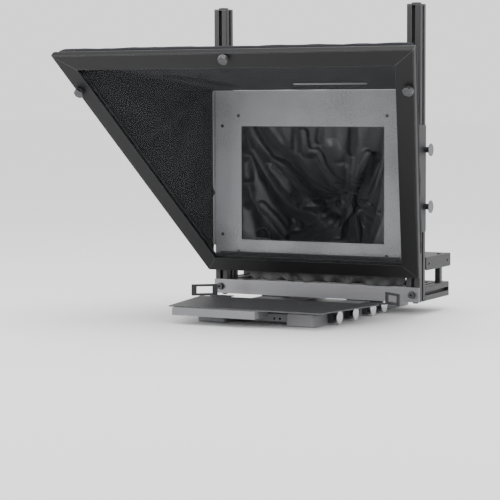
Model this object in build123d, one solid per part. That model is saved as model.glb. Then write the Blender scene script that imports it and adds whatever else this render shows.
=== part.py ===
"""Beam-splitter teleprompter: base rails, T-slot posts, lift-up hood panel, folding mirror frame, tray.

Millimetres. +Z is up and -Y points at the person who reads.
The origin is the tripod thread's mouth, on the underside of the base, in the plane of the posts.
"""
import os
from math import atan2, cos, radians, sin

from build123d import *

# ---------------------------------------------------------------- driving dimensions
# T-slot profile
profile = 30.0
profile_corner = 2.0
slot_mouth = 8.0
slot_lip = 2.2
slot_cavity = 16.5
slot_floor = 9.0
slot_depth = 9.5
core_bore = 6.8

# base
rail_width = 60.0
rail_height = 26.0
rail_wall = 3.0
rail_corner = 6.0
rail_spacing = 196.0
rail_front = -283.0
rail_back = 182.0
rail_cap = 6.0
cap_tongue = 6.0
saddle_thickness = 2.0
tripod_plate_length = 190.0
tripod_plate_front = -60.0
tripod_plate_thickness = 10.0
tripod_thread = 9.525
camera_thread = 6.35
tie_depth = 18.0
rail_screw_length = 15.0
saddle_screw_length = 12.0
bracket_screw_length = 11.0
frame_screw = 5.0
eyelet_x = (36.0, 48.0)
eyelet_z = 12.5
eyelet_radius = 2.6

# upright frame
post_spacing = 440.0
post_length = 597.0
side_rail_length = 126.0
crossbar_thickness = 4.0
cap_thickness = 3.0
cap_boss = 20.0

# camera plate
plate_length = 132.0
plate_start = 20.0
plate_lift = 59.0
plate_sheet = 3.0
plate_flange = 27.0
column = 12.0
sled_width = 90.0
sled_length = 100.0
sled_thickness = 8.0
sled_y = 76.0
sled_travel = 30.0
sled_screw_ahead = 14.0
sled_slot_x = 25.0

# hood panel
panel_past_posts = 6.0
panel_bottom = 115.0
panel_height = 342.0
panel_sheet = 2.0
panel_front = -30.0
panel_flange = 10.0
window_width = 327.0
window_height = 238.0
window_bottom = 144.5
carriage_bottom = 150.0
carriage_height = 236.0
carriage_sheet = 3.0
carriage_reach = 25.0
carriage_knob_z = (221.5, 336.0)
hood_down = 12.0

# hinge and mirror frame, measured from the hinge axis along and square to the glass
mirror_angle = 50.0
hinge_y = -33.5
hinge_z = 109.0
knuckle = 12.5
knuckle_radius = 3.5
hinge_pin_radius = 1.25
hinge_width = 412.5
hinge_leaf = 1.5
hinge_leaf_width = 17.0
frame_face = 20.0
frame_depth = 12.0
frame_member = 36.0
frame_lip = 12.0
frame_lip_thickness = 4.0
frame_below_hinge = 24.0
frame_length = 584.0
frame_past_panel = 15.0
frame_flare = 145.0
glass_thickness = 4.0
gasket = 1.0
rim_width = 16.0
rim_sheet = 2.5

# thumbscrews
thumb_edge = 10.0
thumb_below_top = 89.0
thumb_radius = 10.0
thumb_head = 9.0
thumb_thread = 5.0
disc_radius = 13.0
disc_rim = 2.0
shank_radius = 6.0

# tray
tray_front = -334.0
tray_back = -138.0
tray_front_width = 332.0
tray_back_width = 404.0
tray_sheet = 2.0
tray_top = 34.7
tray_knob_y = (-212.7, -137.2)
frame_knob_y = (-51.5, 4.0)
rail_knob_z = 14.5
stop_peg_y = (-106.0, -86.0)
clamp_thickness = 11.0
box_left = -152.0
box_right = 31.0
box_depth = 56.0
box_height = 15.0
box_wall = 2.0
loop_x = 213.4
loop_y = -102.0
loop_length = 55.0
loop_height = 24.0
loop_leg = 11.0
loop_bar = 5.0
loop_angle = 36.0

# clearances
running = 0.05
sliding = 0.3
fabric_gap = 0.6
fabric = 2.0

# ---------------------------------------------------------------- derived places
half_profile = profile / 2
half_spacing = post_spacing / 2
post_outer = half_spacing + half_profile
post_inner = half_spacing - half_profile
frame_floor = rail_height + saddle_thickness
frame_top = frame_floor + profile
rail_x = rail_spacing / 2
rail_outer = rail_x + rail_width / 2
rail_inner = rail_x - rail_width / 2
plate_top = frame_top + plate_lift
side_start = half_profile
side_end = side_start + side_rail_length
panel_back = panel_front + panel_sheet
panel_half = half_spacing + panel_past_posts
panel_top = panel_bottom + panel_height
window_top = window_bottom + window_height
carriage_top = carriage_bottom + carriage_height
frame_half_low = panel_half + frame_past_panel
frame_half_high = frame_half_low + frame_flare
frame_slope = frame_flare / frame_length
frame_top_u = frame_length - frame_below_hinge
frame_back = frame_face - frame_depth
thumb_height_on_side = frame_top_u - thumb_below_top
glass_plane = Plane(
    origin=(0, hinge_y, hinge_z),
    x_dir=(1, 0, 0),
    z_dir=(0, -sin(radians(mirror_angle)), -cos(radians(mirror_angle))),
)

standing = (Align.CENTER, Align.CENTER, Align.MIN)
os.makedirs("parts", exist_ok=True)


def keep(name, shape):
    """Write one node's solids."""
    export_step(Compound(children=list(shape.solids())), f"parts/{name}.step")


# ---------------------------------------------------------------- shape helpers
def block(x0, x1, y0, y1, z0, z1):
    """A box between two corners."""
    return Pos((x0 + x1) / 2, (y0 + y1) / 2, (z0 + z1) / 2) * Box(abs(x1 - x0), abs(y1 - y0), abs(z1 - z0))


def rod(radius, start, direction, length):
    """A cylinder from a start point along a direction."""
    return Plane(origin=start, z_dir=direction) * Cylinder(
        radius, length, align=standing
    )


def both(shape):
    """A shape and its mirror image across the middle."""
    return shape + mirror(shape, about=Plane.YZ)


def cap_screw(point, direction, thread, length, washer=0.0):
    """A socket cap screw whose head seats on the point and whose shank runs along -direction."""
    head = rod(thread * 0.8, point, direction, thread)
    head -= rod(thread * 0.38, Vector(*point) + Vector(*direction) * thread * 0.4, direction, thread)
    shank = rod(thread / 2 - sliding, point, Vector(*direction) * -1, length)
    screw = head + shank
    if washer:
        screw += rod(thread, point, direction, washer) - rod(thread / 2, point, direction, washer)
    return screw


def thumb_disc(point, direction, reach, thread, shank_length):
    """A thumbscrew: thin domed disc on a neck, a knurled shank and a thread behind it.

    The knurled shank starts at the point and the thread runs back from it.
    """
    axis = Vector(*direction)
    start = Vector(*point)
    knob = rod(shank_radius, start, axis, reach)
    for turn in range(12):
        groove = Rot(0, 0, turn * 30) * Pos(shank_radius, 0, 0) * Cylinder(
            0.7, reach * 0.7, align=standing
        )
        knob -= Plane(origin=start, z_dir=axis) * Pos(0, 0, -running) * groove
    dome = Plane(origin=start + axis * (reach - running), z_dir=axis) * Cylinder(
        disc_radius, disc_rim, align=standing
    )
    dome = fillet(dome.edges().filter_by(GeomType.CIRCLE), disc_rim * 0.45)
    return knob + dome + rod(thread / 2, start, axis * -1, shank_length)


# ---------------------------------------------------------------- T-slot profile
def profile_section():
    """The square section with one T slot in each face."""
    half_mouth = slot_mouth / 2
    half_cavity = slot_cavity / 2
    half_floor = slot_floor / 2
    slot = Polyline(
        (-half_mouth, half_profile + 1),
        (-half_mouth, half_profile - slot_lip),
        (-half_cavity, half_profile - slot_lip),
        (-half_cavity, half_profile - slot_lip - 1.5),
        (-half_floor, half_profile - slot_depth),
        (half_floor, half_profile - slot_depth),
        (half_cavity, half_profile - slot_lip - 1.5),
        (half_cavity, half_profile - slot_lip),
        (half_mouth, half_profile - slot_lip),
        (half_mouth, half_profile + 1),
        close=True,
    )
    section = RectangleRounded(profile, profile, profile_corner)
    for quarter in range(4):
        section -= Rot(0, 0, quarter * 90) * make_face(slot)
    return section - Circle(core_bore / 2)


def profile_bar(start, direction, length):
    """A length of the profile from a start point along an axis."""
    return Plane(origin=start, z_dir=direction) * extrude(profile_section(), length)


def profile_cap(point, direction, boss):
    """A flat plastic end cap with an optional round boss and a plug in the core bore."""
    plane = Plane(origin=point, z_dir=direction)
    plate = extrude(RectangleRounded(profile, profile, profile_corner), cap_thickness)
    plate = fillet(plate.edges().group_by(Axis.Z)[-1], 1.0)
    plug = Pos(0, 0, -8) * Cylinder(core_bore / 2 - running, 8, align=standing)
    cap = plate + plug
    if boss:
        top = Pos(0, 0, cap_thickness) * Cylinder(
            cap_boss / 2, cap_thickness, align=standing
        )
        cap += fillet(top.edges().group_by(Axis.Z)[-1], 1.2)
    return plane * cap


# ---------------------------------------------------------------- base
def base_rail(side):
    """An inverted channel with rounded shoulders, closed by caps at both ends."""
    length = rail_back - rail_front - 2 * rail_cap
    outer = RectangleRounded(rail_width, 2 * rail_height, rail_corner)
    hollow_height = 2 * (rail_height - rail_wall)
    inner = RectangleRounded(rail_width - 2 * rail_wall, hollow_height, rail_corner - rail_wall)
    section = (outer - inner) & Pos(0, rail_height / 2) * Rectangle(rail_width, rail_height)
    plane = Plane(origin=(side * rail_x, rail_back - rail_cap, 0), x_dir=(1, 0, 0), z_dir=(0, -1, 0))
    return plane * extrude(section, length)


def rail_end_cap(side, y, outward):
    """A solid nose with rounded corners and a tongue inside the channel."""
    outer = RectangleRounded(rail_width, 2 * rail_height, rail_corner)
    section = outer & Pos(0, rail_height / 2) * Rectangle(rail_width, rail_height)
    nose = extrude(section, rail_cap)
    nose = chamfer(nose.faces().sort_by(Axis.Z)[-1].edges(), 2.0)
    inset = 2 * (rail_wall + sliding)
    tongue = Pos(0, rail_height / 2 - rail_wall / 2, -cap_tongue / 2) * Box(
        rail_width - inset - 6, rail_height - rail_wall - 6, cap_tongue
    )
    x_way = 1 if outward < 0 else -1
    plane = Plane(origin=(side * rail_x, y, 0), x_dir=(x_way, 0, 0), z_dir=(0, outward, 0))
    return plane * (nose + tongue)


rail_hole = 2.75
saddle_y = (0.0, side_end - half_profile)


def saddle_points():
    """Where the cross rails' bolts pass the base rails."""
    for side in (-1, 1):
        for y in saddle_y:
            for offset in (-15.0, 15.0):
                yield side * rail_x + offset, y


tie_y = rail_front + rail_cap + cap_tongue + tie_depth / 2
tie_low = 6.0
tie_high = rail_height - rail_wall
plate_screw_y = (tripod_plate_front + 25, tripod_plate_front + tripod_plate_length - 25)

rails = {side: base_rail(side) for side in (-1, 1)}
for x, y in saddle_points():
    side = 1 if x > 0 else -1
    rails[side] -= rod(rail_hole, (x, y, rail_height - rail_wall - 1), (0, 0, 1), rail_wall + 2)
for side in (-1, 1):
    wall = side * (rail_inner - 1)
    for y in plate_screw_y:
        rails[side] -= rod(rail_hole, (wall, y, tripod_plate_thickness / 2), (side, 0, 0), rail_wall + 2)
    rails[side] -= rod(rail_hole, (wall, tie_y, (tie_low + tie_high) / 2), (side, 0, 0), rail_wall + 2)
keep("base_rail_left", rails[-1])
keep("base_rail_right", rails[1])

caps = rail_end_cap(1, rail_front + rail_cap, -1) + rail_end_cap(1, rail_back - rail_cap, 1)
keep("rail_end_caps", both(caps))

# plate that the tripod screws into, between the rails
tripod_plate_back = tripod_plate_front + tripod_plate_length
tripod_plate = block(-rail_inner, rail_inner, tripod_plate_front, tripod_plate_back, 0, tripod_plate_thickness)
tripod_plate = chamfer(tripod_plate.edges().filter_by(Axis.Y), 1.0)
thread_spots = [(0.0, tripod_thread), (50.0, tripod_thread), (25.0, camera_thread), (75.0, camera_thread)]
for y, diameter in thread_spots:
    tripod_plate -= rod(diameter / 2, (0, y, -1), (0, 0, 1), tripod_plate_thickness + 2)
for side in (-1, 1):
    for y in plate_screw_y:
        tapped_from = (side * (rail_inner + 1), y, tripod_plate_thickness / 2)
        tripod_plate -= rod(rail_hole, tapped_from, (-side, 0, 0), rail_screw_length + 2)
keep("tripod_plate", tripod_plate)

# bar that ties the rails together at the front, with two cable eyelets
tie = block(-rail_inner, rail_inner, tie_y - tie_depth / 2, tie_y + tie_depth / 2, tie_low, tie_high)
tie = chamfer(tie.edges().filter_by(Axis.X), 1.5)
for x in eyelet_x:
    tie -= rod(eyelet_radius, (x, tie_y - tie_depth, eyelet_z), (0, 1, 0), 2 * tie_depth)
for side in (-1, 1):
    tapped_from = (side * (rail_inner + 1), tie_y, (tie_low + tie_high) / 2)
    tie -= rod(rail_hole, tapped_from, (-side, 0, 0), rail_screw_length + 2)
keep("front_tie", tie)

saddle = block(rail_inner + 4, rail_outer - 4, -half_profile, half_profile, rail_height, frame_floor)
saddles = saddle + Pos(0, saddle_y[1], 0) * saddle
for x, y in saddle_points():
    if x > 0:
        saddles -= rod(rail_hole, (x, y, rail_height - 1), (0, 0, 1), saddle_thickness + 2)
keep("rail_saddles", both(saddles))

# ---------------------------------------------------------------- upright frame
bolt_hole = 4.25
tap_depth = 22.0


cross_front = profile_bar((-post_inner, 0, frame_floor + half_profile), (1, 0, 0), 2 * post_inner)
cross_rear = profile_bar(
    (-post_inner, side_end - half_profile, frame_floor + half_profile), (1, 0, 0), 2 * post_inner
)
keep("cross_rail_front", cross_front)
keep("cross_rail_rear", cross_rear)

for side, name in ((-1, "left"), (1, "right")):
    side_foot = (side * half_spacing, side_start, frame_floor + half_profile)
    side_rail = profile_bar(side_foot, (0, 1, 0), side_rail_length)
    keep(f"side_rail_{name}", side_rail)
    post = profile_bar((side * half_spacing, 0, frame_floor), (0, 0, 1), post_length)
    keep(f"post_{name}", post)

post_top = frame_floor + post_length
caps = profile_cap((half_spacing, 0, post_top), (0, 0, 1), True)
caps += profile_cap((half_spacing, side_end, frame_floor + half_profile), (0, 1, 0), False)
keep("profile_caps", both(caps))

foot_head = 4.0
foot = rod(6.0, (half_spacing, 0, frame_floor), (0, 0, -1), foot_head)
foot = fillet(foot.edges().group_by(Axis.Z)[0], 1.5)
foot += rod(core_bore / 2 - running, (half_spacing, 0, frame_floor), (0, 0, 1), tap_depth)
foot -= rod(2.5, (half_spacing, 0, frame_floor - foot_head - 1), (0, 0, 1), 3)
keep("post_end_screws", both(foot))

bar_back = -half_profile
bar_front = bar_back - crossbar_thickness
crossbar = block(-post_outer, post_outer, bar_front, bar_back, frame_floor, frame_top)
crossbar = chamfer(crossbar.edges().filter_by(Axis.Y), 0.8)
bar_screw_z = frame_floor + half_profile
for side in (-1, 1):
    hole_from = (side * half_spacing, bar_front - 1, bar_screw_z)
    crossbar -= rod(bolt_hole, hole_from, (0, 1, 0), crossbar_thickness + 2)
keep("crossbar", crossbar)
screw = cap_screw((half_spacing, bar_front, bar_screw_z), (0, -1, 0), 8.0, 12.0, 1.6)
keep("crossbar_screws", both(screw))

# cast corner brackets inside the frame, one at each end of both cross rails
bracket_leg = 24.0
bracket_wall = 4.0
bracket_half = 12.0


def corner_bracket(x, y, x_way, y_way):
    """A triangular angle bracket standing in a corner, drilled for one screw in each leg."""
    z0 = frame_floor + half_profile - bracket_half
    z1 = frame_floor + half_profile + bracket_half
    legs = block(x, x + x_way * bracket_leg, y, y + y_way * bracket_wall, z0, z1)
    legs += block(x, x + x_way * bracket_wall, y, y + y_way * bracket_leg, z0, z1)
    web = make_face(
        Polyline(
            (x, y), (x + x_way * bracket_leg, y), (x, y + y_way * bracket_leg), close=True
        )
    )
    for z in (z0, z1 - 2.0):
        legs += Pos(0, 0, z) * extrude(web, 2.0)
    middle = frame_floor + half_profile
    spot = bracket_leg * 0.55
    legs -= rod(rail_hole, (x + x_way * spot, y - y_way, middle), (0, y_way, 0), bracket_wall + 2)
    legs -= rod(rail_hole, (x - x_way, y + y_way * spot, middle), (x_way, 0, 0), bracket_wall + 2)
    return legs


def bracket_screws(x, y, x_way, y_way):
    """The two cap screws of a corner bracket."""
    middle = frame_floor + half_profile
    spot = bracket_leg * 0.55
    across = (x + x_way * spot, y + y_way * bracket_wall, middle)
    along = (x + x_way * bracket_wall, y + y_way * spot, middle)
    pair = cap_screw(across, (0, y_way, 0), frame_screw, bracket_screw_length)
    return pair + cap_screw(along, (x_way, 0, 0), frame_screw, bracket_screw_length)


corners = [(post_inner, side_start, -1, 1), (post_inner, side_end - profile, -1, -1)]
brackets = corner_bracket(*corners[0]) + corner_bracket(*corners[1])
keep("corner_brackets", both(brackets))

screws = bracket_screws(*corners[0]) + bracket_screws(*corners[1])
for x, y in saddle_points():
    if x > 0:
        screws += cap_screw((x, y, rail_height - rail_wall), (0, 0, -1), frame_screw, saddle_screw_length)
inner_wall = rail_inner + rail_wall
for y in plate_screw_y:
    head_at = (inner_wall, y, tripod_plate_thickness / 2)
    screws += cap_screw(head_at, (1, 0, 0), frame_screw, rail_screw_length)
tie_head_at = (inner_wall, tie_y, (tie_low + tie_high) / 2)
screws += cap_screw(tie_head_at, (1, 0, 0), frame_screw, rail_screw_length)
keep("frame_screws", both(screws))

def slot_nut(point, out, along):
    """A square nut under the lips of a slot, drilled for its screw."""
    plane = Plane(origin=point, x_dir=along, z_dir=out)
    plate = Pos(0, 0, half_profile - slot_lip - sliding) * Box(
        12.0, slot_cavity - 2.4, 3.0, align=(Align.CENTER, Align.CENTER, Align.MAX)
    )
    return plane * (plate - Pos(0, 0, half_profile - slot_lip) * Cylinder(rail_hole, 20))


middle_z = frame_floor + half_profile
spot = bracket_leg * 0.55
nuts = slot_nut((half_spacing, 0, bar_screw_z), (0, -1, 0), (0, 0, 1))
nuts -= rod(4.0, (half_spacing, bar_front, bar_screw_z), (0, 1, 0), 20)
for x, y, x_way, y_way in corners:
    cross_y = y - y_way * half_profile
    nuts += slot_nut((x + x_way * spot, cross_y, middle_z), (0, y_way, 0), (1, 0, 0))
    nuts += slot_nut((half_spacing, y + y_way * spot, middle_z), (-1, 0, 0), (0, 1, 0))
for x, y in saddle_points():
    if x > 0:
        nuts += slot_nut((x, y, middle_z), (0, 0, -1), (1, 0, 0))
keep("profile_nuts", both(nuts))

# ---------------------------------------------------------------- camera plate
plate_under = plate_top - plate_sheet
plate_end = plate_start + plate_length
flange_low = plate_top - plate_flange
deck = block(-post_outer, post_outer, plate_start, plate_end, plate_under, plate_top)
for side in (-1, 1):
    flange = block(
        side * post_outer, side * (post_outer - plate_sheet), plate_start, plate_end, flange_low, plate_top
    )
    flange = fillet(flange.edges().filter_by(Axis.X).group_by(Axis.Z)[0], 5.0)
    for y in (plate_start + 15, plate_end - 18):
        flange -= rod(3.2, (side * (post_outer + 1), y, plate_top - 14), (-side, 0, 0), plate_sheet + 2)
    deck += flange
deck = fillet(deck.edges().filter_by(Axis.Y).group_by(Axis.Z)[-1], 2.0)
sled_screw_y = sled_y - sled_screw_ahead


def deck_slot(x, y, width):
    """A slot through the deck that lets a screw at the given place run back by the sled's travel."""
    run = Rot(0, 0, 90) * SlotOverall(sled_travel + width + 4, width)
    return Pos(x, y + sled_travel / 2, plate_top - 6) * extrude(run, 12)


deck -= deck_slot(0, sled_screw_y, tripod_thread + 4)
deck -= deck_slot(sled_slot_x, sled_y, camera_thread + 2)
column_points = [
    (post_inner + column / 2 + 0.5, plate_start + column / 2 + 1),
    (post_outer - plate_sheet - column / 2 - 1, plate_end - 42),
]
for x, y in column_points:
    for side in (-1, 1):
        deck -= rod(2.25, (side * x, y, plate_under - 1), (0, 0, 1), plate_sheet + 2)
keep("camera_plate", deck)

columns = None
for x, y in column_points:
    post = block(x - column / 2, x + column / 2, y - column / 2, y + column / 2, frame_top, plate_under)
    post = chamfer(post.edges().filter_by(Axis.Z), 1.0)
    post -= rod(2.0, (x, y, plate_under - 15), (0, 0, 1), 16)
    columns = post if columns is None else columns + post
keep("camera_plate_columns", both(columns))

screws = None
for x, y in column_points:
    one = rod(3.8, (x, y, plate_top), (0, 0, 1), 2.4) - rod(1.25, (x, y, plate_top + 1), (0, 0, 1), 2)
    one += rod(2.0 - running, (x, y, plate_top), (0, 0, -1), 14)
    screws = one if screws is None else screws + one
keep("camera_plate_screws", both(screws))

# sliding sled under the camera
sled = block(
    -sled_width / 2, sled_width / 2, sled_y - sled_length / 2, sled_y + sled_length / 2,
    plate_top + sliding, plate_top + sliding + sled_thickness,
)
sled = fillet(sled.edges().filter_by(Axis.Z), 6.0)
sled = chamfer(sled.faces().sort_by(Axis.Z)[-1].edges(), 0.8)
sled -= rod(tripod_thread / 2 + running, (0, sled_screw_y, plate_top - 1), (0, 0, 1), sled_thickness + 3)
sled -= rod(camera_thread / 2 + running, (sled_slot_x, sled_y, plate_top - 1), (0, 0, 1), sled_thickness + 3)
keep("camera_sled", sled)

knob_top = plate_under - 1.0


def under_knob(x, y, thread, radius, top, thickness=10.0):
    """A fluted knob below the deck with its screw standing up through it."""
    knob = Pos(x, y, knob_top - thickness) * extrude(Circle(radius), thickness)
    for turn in range(8):
        angle = radians(turn * 45)
        flute_at = (x + radius * cos(angle), y + radius * sin(angle), knob_top - thickness - 1)
        knob -= rod(radius * 0.22, flute_at, (0, 0, 1), thickness + 2)
    return knob + rod(thread / 2, (x, y, knob_top - running), (0, 0, 1), top - knob_top)


keep("camera_screw", under_knob(0, sled_screw_y, tripod_thread, 15.0, plate_top + sled_thickness + 9))
keep("sled_lock_knob", under_knob(sled_slot_x, sled_y, camera_thread, 8.0, plate_top + sled_thickness - 1))

# ---------------------------------------------------------------- hood panel
panel = block(-panel_half, panel_half, panel_front, panel_back, panel_bottom, panel_top)
flange_front = panel_back - panel_flange - panel_sheet
panel += block(-panel_half, panel_half, flange_front, panel_back, panel_top - panel_sheet, panel_top)
for side in (-1, 1):
    panel += block(
        side * panel_half, side * (panel_half - panel_sheet), flange_front, panel_back,
        panel_bottom + hinge_leaf_width, panel_top,
    )
window_half = window_width / 2
window = block(-window_half, window_half, panel_front - 1, panel_back + 1, window_bottom, window_top)
panel -= fillet(window.edges().filter_by(Axis.Y), 1.5)
outer_screw = (panel_half - 18, (carriage_bottom + 5, panel_top - 74))
inner_screw = (window_width / 2 + 6, (window_bottom - 24.5, window_top + 22))
panel_screw_spots = [(outer_screw[0], z) for z in outer_screw[1]]
panel_screw_spots += [(inner_screw[0], z) for z in inner_screw[1]]
leaf_screw = panel_screw_spots[2]
leaf_front = panel_front - hinge_leaf
screw_hole = 2.1
for x, z in panel_screw_spots:
    for side in (-1, 1):
        panel -= rod(screw_hole, (side * x, panel_front - 1, z), (0, 1, 0), panel_sheet + 2)
keep("hood_panel", panel)

ring_sheet = 3.0
ring_back = panel_back + ring_sheet
ring_half = inner_screw[0] + 10
ring_low = inner_screw[1][0] - 8
ring_high = inner_screw[1][1] + 8
ring = block(-ring_half, ring_half, panel_back, ring_back, ring_low, ring_high)
ring -= block(-window_width / 2, window_width / 2, panel_back - 1, ring_back + 1, window_bottom, window_top)
for x, z in panel_screw_spots[2:]:
    for side in (-1, 1):
        ring -= rod(screw_hole, (side * x, panel_back - 1, z), (0, 1, 0), ring_sheet + 2)
keep("shroud_ring", ring)

screws = None
for x, z in panel_screw_spots:
    seat = leaf_front if (x, z) == leaf_screw else panel_front
    one = rod(3.6, (x, seat, z), (0, -1, 0), 1.6)
    one = fillet(one.edges().group_by(Axis.Y)[0], 0.9)
    one += rod(screw_hole - running, (x, seat, z), (0, 1, 0), ring_back - seat)
    screws = one if screws is None else screws + one
keep("panel_screws", both(screws))


def carriage(side):
    """An angle that clamps the panel's edge to the outer face of a post."""
    face = post_outer + sliding
    beyond = face + carriage_sheet
    inside = side * (post_inner - 4)
    front_back = panel_back + carriage_sheet
    leg_back = panel_back + carriage_reach + 12
    front = block(inside, side * beyond, panel_back, front_back, carriage_bottom, carriage_top)
    leg = block(side * face, side * beyond, panel_back, leg_back, carriage_bottom + 20, carriage_top)
    angle = front + leg
    angle = fillet(angle.edges().filter_by(Axis.X).group_by(Axis.Y)[-1], 4.0)
    for z in carriage_knob_z:
        angle -= rod(thumb_thread / 2 + running, (side * (face - 1), 0, z), (side, 0, 0), carriage_sheet + 2)
    for z in outer_screw[1]:
        angle -= rod(screw_hole, (side * outer_screw[0], panel_back - 1, z), (0, 1, 0), carriage_sheet + 2)
    return angle


keep("carriage_left", carriage(-1))
keep("carriage_right", carriage(1))

nut_x = post_outer - slot_lip - sliding
nuts = None
for z in carriage_knob_z:
    nut = block(nut_x - 4.0, nut_x, -slot_cavity / 2 + 1.2, slot_cavity / 2 - 1.2, z - 9, z + 9)
    nut = chamfer(nut.edges().filter_by(Axis.Z).group_by(Axis.X)[0], 2.5)
    nut += block(nut_x, nut_x + slot_lip, -slot_mouth / 2 + sliding, slot_mouth / 2 - sliding, z - 9, z + 9)
    nut -= rod(thumb_thread / 2 + running, (nut_x - 6, 0, z), (1, 0, 0), 12)
    nuts = nut if nuts is None else nuts + nut
keep("slot_nuts", both(nuts))

knob_face = post_outer + sliding + carriage_sheet + running
for side, name in ((-1, "left"), (1, "right")):
    for place, z in zip(("lower", "upper"), carriage_knob_z):
        knob = thumb_disc((side * knob_face, 0, z), (side, 0, 0), 13.0, thumb_thread, 9.0)
        keep(f"carriage_knob_{name}_{place}", knob)

# ---------------------------------------------------------------- piano hinge
knuckles = round(hinge_width / knuckle)


def knuckle_row(parity):
    """Every second barrel along the hinge axis."""
    row = None
    for index in range(parity, knuckles, 2):
        start = -hinge_width / 2 + index * knuckle
        barrel = rod(knuckle_radius, (start + sliding / 2, hinge_y, hinge_z), (1, 0, 0), knuckle - sliding)
        row = barrel if row is None else row + barrel
    return row


def clear_knuckles(parity):
    """Room in a leaf for the other leaf's barrels."""
    room = None
    for index in range(parity, knuckles, 2):
        start = -hinge_width / 2 + index * knuckle
        gap_from = (start - sliding / 2, hinge_y, hinge_z)
        gap = rod(knuckle_radius + sliding, gap_from, (1, 0, 0), knuckle + sliding)
        room = gap if room is None else room + gap
    return room


pin_room = rod(hinge_pin_radius + running, (-hinge_width, hinge_y, hinge_z), (1, 0, 0), 2 * hinge_width)
leaf = block(-hinge_width / 2, hinge_width / 2, leaf_front, panel_front,
             hinge_z, hinge_z + hinge_leaf_width)
leaf_panel = leaf + knuckle_row(0) - clear_knuckles(1) - pin_room
for side in (-1, 1):
    hole_from = (side * leaf_screw[0], leaf_front - 1, leaf_screw[1])
    leaf_panel -= rod(screw_hole, hole_from, (0, 1, 0), hinge_leaf + 2)
keep("hinge_leaf_panel", leaf_panel)

leaf = glass_plane * block(-hinge_width / 2, hinge_width / 2, 0, hinge_leaf_width,
                           knuckle_radius - hinge_leaf, knuckle_radius)
leaf_mirror = leaf + knuckle_row(1) - clear_knuckles(0) - pin_room
keep("hinge_leaf_mirror", leaf_mirror)
pin = rod(hinge_pin_radius, (-hinge_width / 2, hinge_y, hinge_z), (1, 0, 0), hinge_width)
keep("hinge_pin", pin)

# ---------------------------------------------------------------- mirror frame


def frame_half(u, inset):
    """Half width of the frame's outline at a height along the glass, moved in square to the sides."""
    half = frame_half_low + (u + frame_below_hinge) * frame_slope
    return half - inset / cos(atan2(frame_slope, 1))


def trapezoid(inset, z0, z1):
    """The frame's outline moved in by the inset and given a depth."""
    low = -frame_below_hinge + inset
    high = frame_top_u - inset
    outline = Polyline(
        (-frame_half(low, inset), low),
        (frame_half(low, inset), low),
        (frame_half(high, inset), high),
        (-frame_half(high, inset), high),
        close=True,
    )
    return Pos(0, 0, z0) * extrude(make_face(outline), z1 - z0)


def frame_ring():
    """The whole frame before it is cut at the mitres: lip in front, rabbet behind."""
    outer = trapezoid(0, frame_back, frame_face)
    outer = chamfer(outer.faces().sort_by(Axis.Z)[-1].edges(), 1.5)
    opening = trapezoid(frame_member, frame_back - 1, frame_face + 1)
    rabbet = trapezoid(frame_member - frame_lip, frame_back - 1, frame_face - frame_lip_thickness)
    ring = outer - opening - rabbet
    return ring


def mitre_wedges():
    """Four wedges that cut the frame along the lines between its outer and inner corners."""
    low, high = -frame_below_hinge, frame_top_u
    o_low, o_high = frame_half(low, 0), frame_half(high, 0)
    i_low, i_high = low + frame_member, high - frame_member
    p_low, p_high = frame_half(i_low, frame_member), frame_half(i_high, frame_member)

    def beyond(x0, u0, x1, u1, reach):
        """A point on the line from the inner corner out past the outer one."""
        return x1 + (x1 - x0) * reach, u1 + (u1 - u0) * reach

    corners = {
        "low_right": ((p_low, i_low), beyond(p_low, i_low, o_low, low, 0.5)),
        "high_right": ((p_high, i_high), beyond(p_high, i_high, o_high, high, 0.5)),
    }
    (lr_in, lr_out), (hr_in, hr_out) = corners["low_right"], corners["high_right"]

    def flip(point):
        return -point[0], point[1]

    wedges = {
        "bottom": (flip(lr_in), flip(lr_out), lr_out, lr_in),
        "top": (flip(hr_in), flip(hr_out), hr_out, hr_in),
        "right": (lr_in, lr_out, hr_out, hr_in),
        "left": (flip(lr_in), flip(lr_out), flip(hr_out), flip(hr_in)),
    }
    return {
        name: Pos(0, 0, frame_back - 5) * extrude(make_face(Polyline(*points, close=True)), frame_depth + 10)
        for name, points in wedges.items()
    }


thumb_spots = {
    "top": (0.0, frame_top_u - thumb_edge),
    "left": (-frame_half(thumb_height_on_side, thumb_edge), thumb_height_on_side),
    "right": (frame_half(thumb_height_on_side, thumb_edge), thumb_height_on_side),
}
ring = frame_ring()
leaf_seat = block(-hinge_width / 2, hinge_width / 2, -2.0, hinge_leaf_width, knuckle_radius, frame_back)
leaf_seat -= trapezoid(frame_member - frame_lip, knuckle_radius - 1, frame_back + 1)
for x, u in thumb_spots.values():
    ring -= Pos(x, u, frame_back - 1) * Cylinder(
        thumb_thread / 2 + running, frame_depth + 2, align=standing
    )
for name, wedge in mitre_wedges().items():
    member = ring & wedge
    if name == "bottom":
        member += leaf_seat
    keep(f"mirror_frame_{name}", glass_plane * member)

rabbet_inset = frame_member - frame_lip
glass_front = frame_face - frame_lip_thickness - gasket
glass_back = glass_front - glass_thickness
glass_inset = rabbet_inset + 1.5
keep("mirror_glass", glass_plane * trapezoid(glass_inset, glass_back, glass_front))
seal = trapezoid(glass_inset, glass_front, glass_front + gasket)
seal -= trapezoid(frame_member - 2.0, glass_front - 1, glass_front + gasket + 1)
keep("glass_gasket", glass_plane * seal)
retainer = trapezoid(rabbet_inset + 0.2, frame_back, glass_back)
retainer -= trapezoid(frame_member - 1.0, frame_back - 1, glass_back + 1)
keep("glass_retainer", glass_plane * retainer)

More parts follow.
